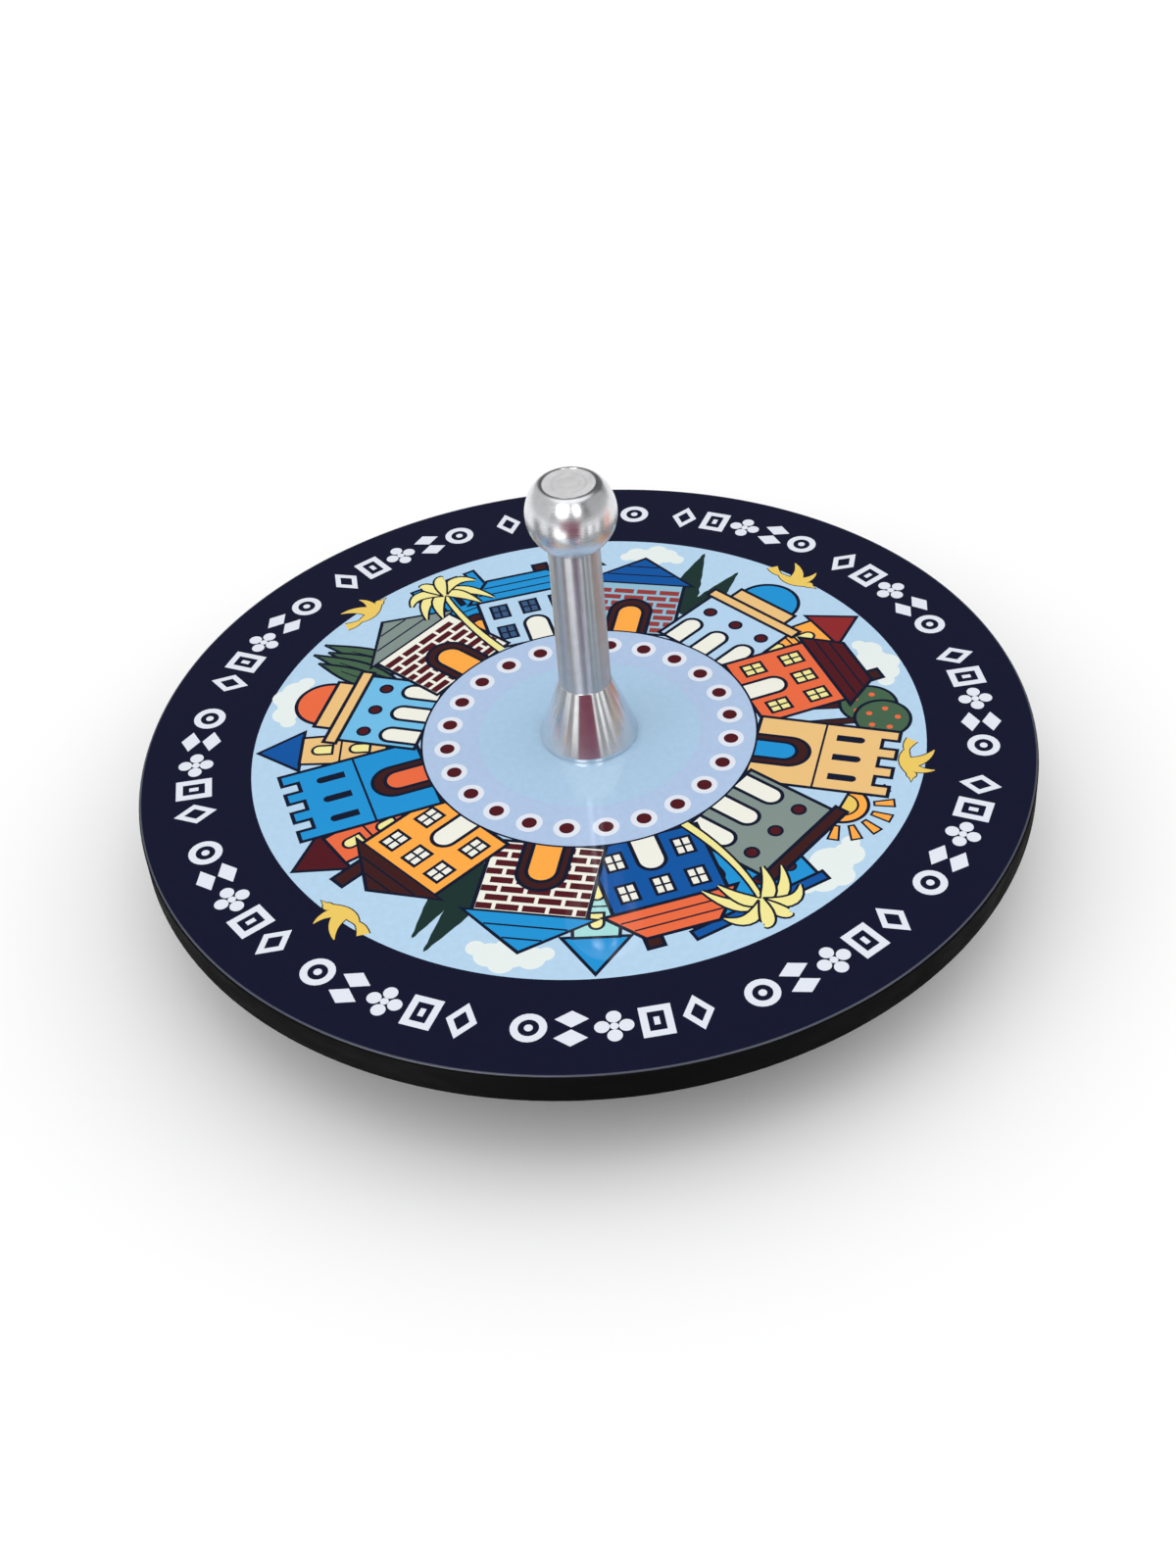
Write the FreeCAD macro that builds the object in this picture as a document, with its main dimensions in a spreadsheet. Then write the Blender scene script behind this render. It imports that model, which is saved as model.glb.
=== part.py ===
"""Disc-shaped spinning top: a round printed board on a turned aluminium handle, with a ball tip.

Millimetres. +Z is the spin axis and the origin is the lowest point of the tip ball.
Every piece is a body of its own, drawn about its own Z axis and lifted to its height by its Placement.
Screw threads are plain cylinders.
"""

import FreeCAD, Part
import os
import Sketcher

doc = FreeCAD.newDocument("spinning_top")

# ---------------------------------------------------------------- driving dimensions

SIZES = {
    # the disc
    "disc_radius": 45.0,
    "board_thickness": 3.0,
    "board_height": 9.0,
    "edge_chamfer": 0.12,
    "sheet_thickness": 0.08,
    "film_thickness": 0.05,
    "through_hole_radius": 1.6,
    # the handle, in three pieces
    "base_radius": 4.93,
    "base_land": 0.45,
    "base_height": 6.9,
    "base_top_radius": 2.64,
    "stem_height": 16.3,
    "stem_foot_radius": 2.61,
    "stem_top_radius": 2.5,
    "seam_chamfer": 0.1,
    "knob_radius": 4.37,
    "knob_centre": 3.48,
    "knob_height": 6.7,
    "knob_edge_round": 0.8,
    # the M3 rod that clamps the handle, the disc and the foot together
    "rod_radius": 1.48,
    "rod_length": 35.0,
    "rod_bottom": 3.9,
    "rod_chamfer": 0.3,
    "thread_radius": 1.5,
    "knob_thread_depth": 4.6,
    "foot_thread_depth": 4.9,
    "washer_radius": 4.5,
    "washer_thickness": 0.5,
    # the tip
    "ball_radius": 1.5,
    "ball_clearance": 0.05,
    "foot_radius": 4.93,
    "foot_land": 0.45,
    "foot_lip": 0.75,
    "foot_lip_radius": 1.8,
}

sheet = doc.addObject("Spreadsheet::Sheet", "sizes")
for row, (alias, value) in enumerate(SIZES.items(), start=1):
    sheet.set(f"A{row}", alias)
    sheet.set(f"B{row}", str(value))
    sheet.setAlias(f"B{row}", alias)
doc.recompute()

# heights of the stacked pieces above the tip's lowest point
BOARD_TOP = "(sizes.board_height + sizes.board_thickness)"
SHEET_TOP = f"({BOARD_TOP} + sizes.sheet_thickness)"
FACE = f"({SHEET_TOP} + sizes.film_thickness)"
BASE_TOP = f"({FACE} + sizes.base_height)"
STEM_TOP = f"({BASE_TOP} + sizes.stem_height)"
FOOT_TOP = "(sizes.board_height - sizes.washer_thickness)"

# ---------------------------------------------------------------- drawing helpers


def new_body(label, height):
    """An empty body for one piece, lifted to its height above the tip."""
    body = doc.addObject("PartDesign::Body", label)
    body.Label = label
    body.setExpression("Placement.Base.z", height)
    return body


def origin_plane(body, role):
    """One of the body's own origin planes."""
    return next(f for f in body.Origin.OriginFeatures if f.Role == role)


def new_sketch(body, role):
    """A sketch on one of the body's own origin planes."""
    sketch = body.newObject("Sketcher::SketchObject", f"{body.Label}_sketch")
    sketch.AttachmentSupport = (origin_plane(body, role), [""])
    sketch.MapMode = "FlatFace"
    return sketch


def bind(sketch, constraint, name, expression):
    """Adds a dimension to a sketch and ties it to the sheet."""
    index = sketch.addConstraint(constraint)
    sketch.renameConstraint(index, name)
    sketch.setExpression(f"Constraints.{name}", expression)


def draw_circle(body, radius):
    """A sketch on the body's XY plane with one circle about the axis."""
    sketch = new_sketch(body, "XY_Plane")
    size = float(sketch.evalExpression(radius))
    axis = FreeCAD.Vector(0, 0, 1)
    circle = sketch.addGeometry(Part.Circle(FreeCAD.Vector(), axis, size), False)
    sketch.addConstraint(Sketcher.Constraint("Coincident", circle, 3, -1, 1))
    bind(sketch, Sketcher.Constraint("Radius", circle, size), "radius", radius)
    return sketch


def draw_section(body, corners):
    """Half of a turned piece's section: a closed outline of straight edges on the XZ plane.

    corners are (radius, height) expressions, and "0" holds a corner on that axis.
    """
    sketch = new_sketch(body, "XZ_Plane")
    sizes = [(float(sketch.evalExpression(r)), float(sketch.evalExpression(z))) for r, z in corners]
    points = [FreeCAD.Vector(r, z, 0) for r, z in sizes]
    for start, end in zip(points, points[1:] + points[:1]):
        sketch.addGeometry(Part.LineSegment(start, end), False)
    count = len(corners)
    for edge in range(count):
        sketch.addConstraint(Sketcher.Constraint("Coincident", edge, 2, (edge + 1) % count, 1))
    for edge, (radius, height) in enumerate(corners):
        if radius == "0":
            sketch.addConstraint(Sketcher.Constraint("PointOnObject", edge, 1, -2))
        else:
            across = Sketcher.Constraint("DistanceX", -1, 1, edge, 1, sizes[edge][0])
            bind(sketch, across, f"radius_{edge}", radius)
        if height == "0":
            sketch.addConstraint(Sketcher.Constraint("PointOnObject", edge, 1, -1))
        else:
            upward = Sketcher.Constraint("DistanceY", -1, 1, edge, 1, sizes[edge][1])
            bind(sketch, upward, f"height_{edge}", height)
    return sketch


def pad(body, radius, thickness):
    """A round plate standing on the body's XY plane."""
    feature = body.newObject("PartDesign::Pad", f"{body.Label}_pad")
    feature.Profile = draw_circle(body, radius)
    feature.setExpression("Length", thickness)
    doc.recompute()


def turn(body, corners):
    """A turned piece: its half section swept round the Z axis."""
    feature = body.newObject("PartDesign::Revolution", f"{body.Label}_turned")
    section = draw_section(body, corners)
    feature.Profile = section
    feature.ReferenceAxis = (section, ["V_Axis"])
    feature.Angle = 360
    doc.recompute()


def add_sphere(body, kind, radius, centre, lowest="-90", highest="90"):
    """Adds or takes away a sphere about a point on the axis, cut flat at two latitudes."""
    feature = body.newObject(f"PartDesign::{kind}Sphere", f"{body.Label}_{kind.lower()}_sphere")
    feature.AttachmentSupport = (origin_plane(body, "XY_Plane"), [""])
    feature.MapMode = "FlatFace"
    feature.setExpression("AttachmentOffset.Base.z", centre)
    feature.setExpression("Radius", radius)
    feature.setExpression("Angle1", lowest)
    feature.setExpression("Angle2", highest)
    doc.recompute()


def drill(body, radius, depth=None, upward=True):
    """Cuts a round hole about the axis from the body's XY plane: through, or to a depth."""
    before = body.Shape.Volume
    feature = body.newObject("PartDesign::Pocket", f"{body.Label}_hole")
    feature.Profile = draw_circle(body, radius)
    feature.Reversed = upward
    if depth is None:
        feature.Type = "ThroughAll"
    else:
        feature.setExpression("Length", depth)
    doc.recompute()
    if body.Shape.Volume >= before:
        raise RuntimeError(f"the hole in {body.Label} cuts nothing")


def edges_at(body, height, radius):
    """The names of the circular edges at a height and a radius of a body, in its own frame."""
    tip = body.Tip.Shape
    tolerance = 1e-4
    return [
        f"Edge{number}"
        for number, edge in enumerate(tip.Edges, start=1)
        if isinstance(edge.Curve, Part.Circle)
        and abs(edge.Curve.Center.z - height) < tolerance
        and abs(edge.Curve.Radius - radius) < tolerance
    ]


def dress(body, kind, size, rings):
    """Chamfers or rounds circular edges. rings are (height, radius) expressions."""
    found = []
    for height, radius in rings:
        at = [float(sheet.evalExpression(text.replace("sizes.", ""))) for text in (height, radius)]
        found += edges_at(body, *at)
    if len(found) != len(rings):
        raise RuntimeError(f"{body.Label} has {len(found)} of its {len(rings)} edges to dress")
    base = body.Tip
    feature = body.newObject(f"PartDesign::{kind}", f"{body.Label}_{kind.lower()}")
    feature.Base = (base, found)
    feature.setExpression("Radius" if kind == "Fillet" else "Size", size)
    doc.recompute()


# ---------------------------------------------------------------- the disc


def disc_board():
    """The black board that carries the print, with both rims lightly broken."""
    body = new_body("disc_board", "sizes.board_height")
    pad(body, "sizes.disc_radius", "sizes.board_thickness")
    drill(body, "sizes.through_hole_radius")
    rims = [("0", "sizes.disc_radius"), ("sizes.board_thickness", "sizes.disc_radius")]
    dress(body, "Chamfer", "sizes.edge_chamfer", rims)
    return body


def face_layer(label, thickness, height):
    """A thin round layer on the board's face, ending at the rim's chamfer."""
    body = new_body(label, height)
    pad(body, "sizes.disc_radius - sizes.edge_chamfer", thickness)
    drill(body, "sizes.through_hole_radius")
    return body


# ---------------------------------------------------------------- the handle


def flared_base():
    """The conical foot of the handle, with a short upright land where it meets the face."""
    body = new_body("flared_base", FACE)
    turn(
        body,
        [
            ("sizes.through_hole_radius", "0"),
            ("sizes.base_radius", "0"),
            ("sizes.base_radius", "sizes.base_land"),
            ("sizes.base_top_radius", "sizes.base_height"),
            ("sizes.through_hole_radius", "sizes.base_height"),
        ],
    )
    return body


def grip_stem():
    """The slightly tapered stem that the fingers twirl, bored through for the rod."""
    body = new_body("grip_stem", BASE_TOP)
    turn(
        body,
        [
            ("sizes.through_hole_radius", "0"),
            ("sizes.stem_foot_radius", "0"),
            ("sizes.stem_top_radius", "sizes.stem_height - sizes.seam_chamfer"),
            ("sizes.stem_top_radius - sizes.seam_chamfer", "sizes.stem_height"),
            ("sizes.through_hole_radius", "sizes.stem_height"),
        ],
    )
    return body


def ball_knob():
    """The ball at the top of the handle, flat above and below, with a blind thread for the rod."""
    body = new_body("ball_knob", STEM_TOP)
    above = "(sizes.knob_height - sizes.knob_centre)"
    lowest = "-asin(sizes.knob_centre / sizes.knob_radius)"
    highest = f"asin({above} / sizes.knob_radius)"
    add_sphere(body, "Additive", "sizes.knob_radius", "sizes.knob_centre", lowest, highest)
    flat_edge = f"sqrt(sizes.knob_radius ^ 2 - {above} ^ 2)"
    dress(body, "Fillet", "sizes.knob_edge_round", [("sizes.knob_height", flat_edge)])
    drill(body, "sizes.thread_radius", "sizes.knob_thread_depth")
    return body


# ---------------------------------------------------------------- the clamp rod and the tip


def centre_rod():
    """The threaded rod through the whole handle and the disc, with both ends chamfered."""
    body = new_body("centre_rod", "sizes.rod_bottom")
    pad(body, "sizes.rod_radius", "sizes.rod_length")
    ends = [("0", "sizes.rod_radius"), ("sizes.rod_length", "sizes.rod_radius")]
    dress(body, "Chamfer", "sizes.rod_chamfer", ends)
    return body


def clamp_washer():
    """A plain washer between the board and the tip's foot."""
    body = new_body("clamp_washer", FOOT_TOP)
    pad(body, "sizes.washer_radius", "sizes.washer_thickness")
    drill(body, "sizes.through_hole_radius")
    return body


def tip_foot():
    """The conical foot under the disc: a blind thread above, and a socket that holds the ball below."""
    body = new_body("tip_foot", "0")
    turn(
        body,
        [
            ("0", "sizes.foot_lip"),
            ("sizes.foot_lip_radius", "sizes.foot_lip"),
            ("sizes.foot_radius", f"{FOOT_TOP} - sizes.foot_land"),
            ("sizes.foot_radius", FOOT_TOP),
            ("sizes.thread_radius", FOOT_TOP),
            ("sizes.thread_radius", f"{FOOT_TOP} - sizes.foot_thread_depth"),
            ("0", f"{FOOT_TOP} - sizes.foot_thread_depth"),
        ],
    )
    before = body.Shape.Volume
    socket = "sizes.ball_radius + sizes.ball_clearance"
    add_sphere(body, "Subtractive", socket, "sizes.ball_radius")
    if body.Shape.Volume >= before:
        raise RuntimeError("the ball's socket cuts nothing")
    return body


def tip_ball():
    """The ball that the top spins on. The foot's lip closes in below its middle and keeps it there."""
    body = new_body("tip_ball", "0")
    add_sphere(body, "Additive", "sizes.ball_radius", "sizes.ball_radius")
    return body


# ---------------------------------------------------------------- build, check and write

pieces = [
    disc_board(),
    face_layer("printed_sheet", "sizes.sheet_thickness", BOARD_TOP),
    face_layer("clear_film", "sizes.film_thickness", SHEET_TOP),
    flared_base(),
    grip_stem(),
    ball_knob(),
    centre_rod(),
    clamp_washer(),
    tip_foot(),
    tip_ball(),
]
doc.recompute()

for item in doc.Objects:
    if {"Invalid", "Error"} & set(item.State):
        raise RuntimeError(f"{item.Label} failed: {item.State}")
for piece in pieces:
    if piece.Shape.isNull() or not piece.Shape.isValid() or len(piece.Shape.Solids) != 1:
        raise RuntimeError(f"{piece.Label} isn't one valid solid")

os.makedirs("parts", exist_ok=True)
for piece in pieces:
    piece.Shape.exportStep(f"parts/{piece.Label}.step")
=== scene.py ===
"""The looks of the disc-shaped spinning top: a printed, film-covered disc on a turned aluminium handle.

Metres, in the frame of the CAD model: +Z is the spin axis and the tip's lowest point is the origin.
The artwork on the face is drawn in millimetres, with complex numbers as points.
"""

import cmath
import math

import bmesh
import bpy
import numpy as np
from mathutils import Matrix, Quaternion, Vector
from mathutils.geometry import delaunay_2d_cdt


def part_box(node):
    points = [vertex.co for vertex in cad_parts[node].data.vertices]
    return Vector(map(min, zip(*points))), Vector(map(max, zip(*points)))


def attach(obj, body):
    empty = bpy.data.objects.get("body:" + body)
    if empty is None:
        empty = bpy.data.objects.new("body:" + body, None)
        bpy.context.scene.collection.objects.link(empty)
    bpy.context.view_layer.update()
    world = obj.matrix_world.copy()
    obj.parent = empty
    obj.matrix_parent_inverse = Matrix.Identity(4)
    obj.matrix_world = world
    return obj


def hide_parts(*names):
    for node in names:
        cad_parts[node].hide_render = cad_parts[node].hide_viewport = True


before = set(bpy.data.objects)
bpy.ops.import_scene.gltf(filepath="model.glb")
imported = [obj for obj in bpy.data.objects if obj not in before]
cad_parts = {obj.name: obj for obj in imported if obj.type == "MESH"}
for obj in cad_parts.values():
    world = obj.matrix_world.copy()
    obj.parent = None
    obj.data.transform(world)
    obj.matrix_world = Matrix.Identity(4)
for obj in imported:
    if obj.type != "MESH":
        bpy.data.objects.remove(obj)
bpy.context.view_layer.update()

MM = 0.001

# ---------------------------------------------------------------- camera, floor and light

CAMERA_PLACE = Vector((0.0, -156.2, 141.9)) * MM
CAMERA_AIM = Vector((10.7, 12.1, 12.1)) * MM
CAMERA_ROLL = math.radians(-2.6)
CAMERA_LENS = 45.9
CAMERA_SHIFT = (-0.061, -0.085)
NEAREST = 0.01          # metres: what is nearer to the camera isn't drawn
FLOOR_HALF = 2.6
FLOOR_GREY = 0.93


def make_camera():
    data = bpy.data.cameras.new("camera")
    data.lens = CAMERA_LENS
    data.shift_x, data.shift_y = CAMERA_SHIFT
    data.clip_start = NEAREST
    camera = bpy.data.objects.new("camera", data)
    bpy.context.collection.objects.link(camera)
    camera.location = CAMERA_PLACE
    camera.rotation_mode = "QUATERNION"
    level = (CAMERA_AIM - CAMERA_PLACE).to_track_quat("-Z", "Y")
    camera.rotation_quaternion = level @ Quaternion((0, 0, 1), CAMERA_ROLL)
    bpy.context.scene.camera = camera


def flat_sheet(name, corners):
    """One four-sided face, for the floor and the studio's cards."""
    mesh = bpy.data.meshes.new(name)
    mesh.from_pydata([Vector(c) for c in corners], [], [(0, 1, 2, 3)])
    sheet = bpy.data.objects.new(name, mesh)
    bpy.context.collection.objects.link(sheet)
    return sheet


def make_floor():
    corners = [(x * FLOOR_HALF, y * FLOOR_HALF, 0) for x, y in ((-1, -1), (1, -1), (1, 1), (-1, 1))]
    floor = flat_sheet("floor", corners)
    material, shader = new_material("pale_floor")
    shader.inputs["Base Color"].default_value = (FLOOR_GREY, FLOOR_GREY, FLOOR_GREY, 1)
    shader.inputs["Roughness"].default_value = 1.0
    shader.inputs["Specular IOR Level"].default_value = 0.0
    floor.data.materials.append(material)


def softbox(name, place, aim, size, power):
    data = bpy.data.lights.new(name, "AREA")
    data.shape = "RECTANGLE"
    data.size, data.size_y = size
    data.energy = power
    lamp = bpy.data.objects.new(name, data)
    bpy.context.collection.objects.link(lamp)
    lamp.location = place
    lamp.rotation_mode = "QUATERNION"
    lamp.rotation_quaternion = (Vector(aim) - Vector(place)).to_track_quat("-Z", "Y")


# what reflections see of the world: the sine of the elevation, and the grey there
MIRRORED_WORLD = [
    (0.0, 0.5), (0.12, 0.4), (0.26, 0.14), (0.45, 0.08), (0.77, 0.07), (0.84, 0.8), (1.0, 1.1),
]


def make_world():
    """A pale studio all round, with a dimmer and more contrasted one for reflections."""
    world = bpy.data.worlds.new("studio")
    bpy.context.scene.world = world
    world.use_nodes = True
    nodes, links = world.node_tree.nodes, world.node_tree.links
    plain = nodes["Background"]
    plain.inputs["Color"].default_value = (1.0, 1.0, 1.0, 1)
    plain.inputs["Strength"].default_value = 1.0
    mirrored = nodes.new("ShaderNodeBackground")
    direction = nodes.new("ShaderNodeTexCoord")
    parts = nodes.new("ShaderNodeSeparateXYZ")
    ramp = nodes.new("ShaderNodeValToRGB")
    links.new(direction.outputs["Generated"], parts.inputs[0])
    links.new(parts.outputs["Z"], ramp.inputs["Fac"])
    links.new(ramp.outputs["Color"], mirrored.inputs["Color"])
    for position, grey in MIRRORED_WORLD:
        stop = ramp.color_ramp.elements.new(position)
        stop.color = (grey, grey, grey, 1)
    for default_stop in (0, -1):
        ramp.color_ramp.elements.remove(ramp.color_ramp.elements[default_stop])
    rays = nodes.new("ShaderNodeLightPath")
    mix = nodes.new("ShaderNodeMixShader")
    links.new(rays.outputs["Is Glossy Ray"], mix.inputs["Fac"])
    links.new(plain.outputs["Background"], mix.inputs[1])
    links.new(mirrored.outputs["Background"], mix.inputs[2])
    links.new(mix.outputs["Shader"], nodes["World Output"].inputs["Surface"])


CAMERA_SIDE = -90       # degrees from +X
NEAR_CARDS = 0.2        # metres from the axis
FAR_CARDS = 0.6
FLOOR_CARDS = 0.055     # where the cards on the floor start
CARD_FOOT = 0.0006      # metres above the floor
STRIP_TOP = 0.012
RED_TOP = 0.075
DARK_RED = (0.2, 0.03, 0.065)
WARM = (0.95, 0.5, 0.4)
# from and to, in degrees to the right of the camera, and the grey or the colour
STRIPS = [
    (-100, -78, 0.25),
    (-75, -60, 1.0),
    (-58, -44, 0.2),
    (-42, -30, 1.9),
    (-28, 19, DARK_RED),
    (20, 25, 1.9),
    (26, 36, 0.06),
    (37, 44, 1.9),
    (45, 54, 0.25),
    (55, 64, 1.3),
    (66, 80, 0.2),
    (82, 100, WARM),
]


def soften(material, fade):
    """Lets an upright card's light fade towards its edges, over this share of its width and height."""
    tree = material.node_tree
    place = tree.nodes.new("ShaderNodeTexCoord")
    parts = tree.nodes.new("ShaderNodeSeparateXYZ")
    tree.links.new(place.outputs["Generated"], parts.inputs[0])
    both = tree.nodes.new("ShaderNodeMath")
    both.operation = "MULTIPLY"
    for socket, axis in zip(both.inputs, "XZ"):
        wave = tree.nodes.new("ShaderNodeMath")
        wave.operation = "PINGPONG"
        wave.inputs[1].default_value = 0.5
        soft = tree.nodes.new("ShaderNodeMapRange")
        soft.interpolation_type = "SMOOTHERSTEP"
        soft.inputs["From Max"].default_value = fade
        tree.links.new(parts.outputs[axis], wave.inputs[0])
        tree.links.new(wave.outputs[0], soft.inputs["Value"])
        tree.links.new(soft.outputs["Result"], socket)
    tree.links.new(both.outputs[0], tree.nodes["Principled BSDF"].inputs["Emission Strength"])


def card(name, turns, heights, distance, colour, reach=None, fade=0.0):
    """A card that only reflections see, in degrees to the right of the camera and metres.

    It stands at one distance, or lies flat from that distance to reach. Its colour is a grey, or
    three channels. With fade, it is brightest in its middle.
    """
    corners = []
    for turn, height in zip(turns + turns[::-1], (heights[0],) * 2 + (heights[1],) * 2):
        away = distance if reach is None or height == heights[0] else reach
        spoke = cmath.rect(away, math.radians(CAMERA_SIDE + turn))
        corners.append((spoke.real, spoke.imag, height))
    sheet = flat_sheet(name, corners)
    material, shader = new_material(name)
    shader.inputs["Base Color"].default_value = (0, 0, 0, 1)
    shader.inputs["Specular IOR Level"].default_value = 0.0
    shader.inputs["Emission Color"].default_value = (*np.broadcast_to(colour, 3), 1)
    shader.inputs["Emission Strength"].default_value = 1.0
    if fade:
        soften(material, fade)
    sheet.data.materials.append(material)
    sheet.visible_camera = sheet.visible_diffuse = sheet.visible_shadow = False
    sheet.visible_transmission = False


def make_cards():
    """What the bare metal mirrors: a dark red shape below the camera, strips beside it, two windows."""
    for number, (start, end, colour) in enumerate(STRIPS, start=1):
        top = RED_TOP if colour is DARK_RED else STRIP_TOP
        card(f"strip_card_{number}", (start, end), (CARD_FOOT, top), NEAR_CARDS, colour)
        level = (CARD_FOOT, CARD_FOOT + 0.0001)
        card(f"floor_card_{number}", (start, end), level, FLOOR_CARDS, colour, reach=NEAR_CARDS)
    card("front_glow", (-43, -16), (0.0012, 0.0013), FLOOR_CARDS, 2.6, reach=0.12)
    card("left_pane", (-48, -3), (0.16, 0.86), FAR_CARDS, 11.0, fade=0.5)
    card("right_pane", (4, 30), (0.18, 0.8), FAR_CARDS, 8.0, fade=0.5)
    card("left_wall", (-158, -60), (0.05, 0.75), FAR_CARDS, 0.6)
    card("right_wall", (50, 118), (0.05, 0.6), FAR_CARDS, 0.45)


# ---------------------------------------------------------------- materials


def new_material(name):
    material = bpy.data.materials.new(name)
    material.use_nodes = True
    return material, material.node_tree.nodes["Principled BSDF"]


def srgb(red, green, blue):
    """A screen colour (0 to 255) as the linear colour that a shader takes."""
    channels = []
    for value in (red, green, blue):
        part = value / 255
        channels.append(part / 12.92 if part <= 0.04045 else ((part + 0.055) / 1.055) ** 2.4)
    return (*channels, 1.0)


def noise(tree, scale, detail=2.0, stretch=(1, 1, 1)):
    """Noise in object space, from 0 to 1. Its scale is in cells per metre, stretched axis by axis."""
    place = tree.nodes.new("ShaderNodeTexCoord")
    spread = tree.nodes.new("ShaderNodeMapping")
    spread.inputs["Scale"].default_value = stretch
    pattern = tree.nodes.new("ShaderNodeTexNoise")
    pattern.inputs["Scale"].default_value = scale
    pattern.inputs["Detail"].default_value = detail
    tree.links.new(place.outputs["Object"], spread.inputs["Vector"])
    tree.links.new(spread.outputs["Vector"], pattern.inputs["Vector"])
    return pattern.outputs["Fac"]


def turning_rings(tree, pitch):
    """The fine rings that a lathe leaves on a cone or a stem: noise that changes only with height."""
    return noise(tree, 1 / pitch, 3.0, (0, 0, 1))


def facing_rings(tree, pitch):
    """The same on a flat end: noise that changes only with the distance from the axis."""
    place = tree.nodes.new("ShaderNodeTexCoord")
    flat = tree.nodes.new("ShaderNodeVectorMath")
    flat.operation = "MULTIPLY"
    flat.inputs[1].default_value = (1, 1, 0)
    reach = tree.nodes.new("ShaderNodeVectorMath")
    reach.operation = "LENGTH"
    pattern = tree.nodes.new("ShaderNodeTexNoise")
    pattern.noise_dimensions = "1D"
    pattern.inputs["Scale"].default_value = 1 / pitch
    pattern.inputs["Detail"].default_value = 3.0
    tree.links.new(place.outputs["Object"], flat.inputs[0])
    tree.links.new(flat.outputs["Vector"], reach.inputs[0])
    tree.links.new(reach.outputs["Value"], pattern.inputs["W"])
    return pattern.outputs["Fac"]


NOISE_RANGE = (0.3, 0.7)


def spread_range(tree, value, low, high):
    """Noise, which seldom leaves NOISE_RANGE, spread from low to high."""
    node = tree.nodes.new("ShaderNodeMapRange")
    node.inputs["From Min"].default_value, node.inputs["From Max"].default_value = NOISE_RANGE
    node.inputs["To Min"].default_value = low
    node.inputs["To Max"].default_value = high
    tree.links.new(value, node.inputs["Value"])
    return node.outputs["Result"]


def bump(tree, value, height, strength=1.0):
    node = tree.nodes.new("ShaderNodeBump")
    node.inputs["Distance"].default_value = height
    node.inputs["Strength"].default_value = strength
    tree.links.new(value, node.inputs["Height"])
    return node.outputs["Normal"]


def vary_colour(tree, shader, colour, spread, value):
    """The base colour, a little darker and lighter where value says."""
    mix = tree.nodes.new("ShaderNodeMix")
    mix.data_type = "RGBA"
    for socket, share in (("A", 1 - spread), ("B", 1 + spread)):
        mix.inputs[socket].default_value = [min(1, channel * share) for channel in colour[:3]] + [1]
    tree.links.new(spread_range(tree, value, 0, 1), mix.inputs["Factor"])
    tree.links.new(mix.outputs["Result"], shader.inputs["Base Color"])


# the sizes of patterns, in cells per metre, and their heights in metres
PAPER_TOOTH, INK_MOTTLE = 2500, 1400
FILM_WAVES, FILM_WAVE_HEIGHT = 180, 0.00001
METAL_STAINS = 900
BOARD_PORES, PORE_DEPTH = 4200, 0.00002
BOARD_SCUFFS = 240
EDGE_SHINE, EDGE_DENTS = 1800, 700

FILM_ROUGHNESS, FILM_IOR = 0.035, 1.5


def printed_ink(name, colour, grain=0.0):
    """Ink on paper under a clear glossy film, which is slightly wavy."""
    material, shader = new_material(name)
    tree = material.node_tree
    shader.inputs["Base Color"].default_value = colour
    shader.inputs["Specular IOR Level"].default_value = 0.0
    shader.inputs["Coat Weight"].default_value = 1.0
    shader.inputs["Coat Roughness"].default_value = FILM_ROUGHNESS
    shader.inputs["Coat IOR"].default_value = FILM_IOR
    tree.links.new(spread_range(tree, noise(tree, PAPER_TOOTH), 0.42, 0.58), shader.inputs["Roughness"])
    wave = bump(tree, noise(tree, FILM_WAVES, 1.0), FILM_WAVE_HEIGHT)
    tree.links.new(wave, shader.inputs["Normal"])
    tree.links.new(wave, shader.inputs["Coat Normal"])
    if grain:
        vary_colour(tree, shader, colour, grain, noise(tree, INK_MOTTLE, 4.0))
    return material


ACROSS_GROOVES = 0.25   # a quarter turn from the tangent
ALUMINIUM = (0.74, 0.75, 0.77, 1)
SATIN_ALUMINIUM = (0.56, 0.58, 0.61, 1)
FACED_ALUMINIUM = (0.88, 0.88, 0.89, 1)
BALL_STEEL = (0.62, 0.62, 0.63, 1)
ZINC = (0.60, 0.60, 0.585, 1)
FINE_PITCH, COARSE_PITCH = 0.00012, 0.0003


def turned_metal(name, colour, roughness, anisotropy, pitch, depth, rings=turning_rings):
    """Bare metal from the lathe: fine rings, and highlights drawn out across them.

    Roughness is its lowest and highest value, and the rings' pitch and depth are in metres.
    """
    material, shader = new_material(name)
    tree = material.node_tree
    shader.inputs["Metallic"].default_value = 1.0
    shader.inputs["Anisotropic"].default_value = anisotropy
    shader.inputs["Anisotropic Rotation"].default_value = ACROSS_GROOVES
    low, high = roughness
    marks = rings(tree, pitch)
    tree.links.new(spread_range(tree, marks, low, high), shader.inputs["Roughness"])
    tree.links.new(bump(tree, marks, depth), shader.inputs["Normal"])
    vary_colour(tree, shader, colour, 0.05, noise(tree, METAL_STAINS, 3.0))
    tangent = tree.nodes.new("ShaderNodeTangent")
    tangent.direction_type = "RADIAL"
    tangent.axis = "Z"
    tree.links.new(tangent.outputs["Tangent"], shader.inputs["Tangent"])
    return material


BOARD_BLACK = (0.0022, 0.0022, 0.0024, 1)


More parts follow.
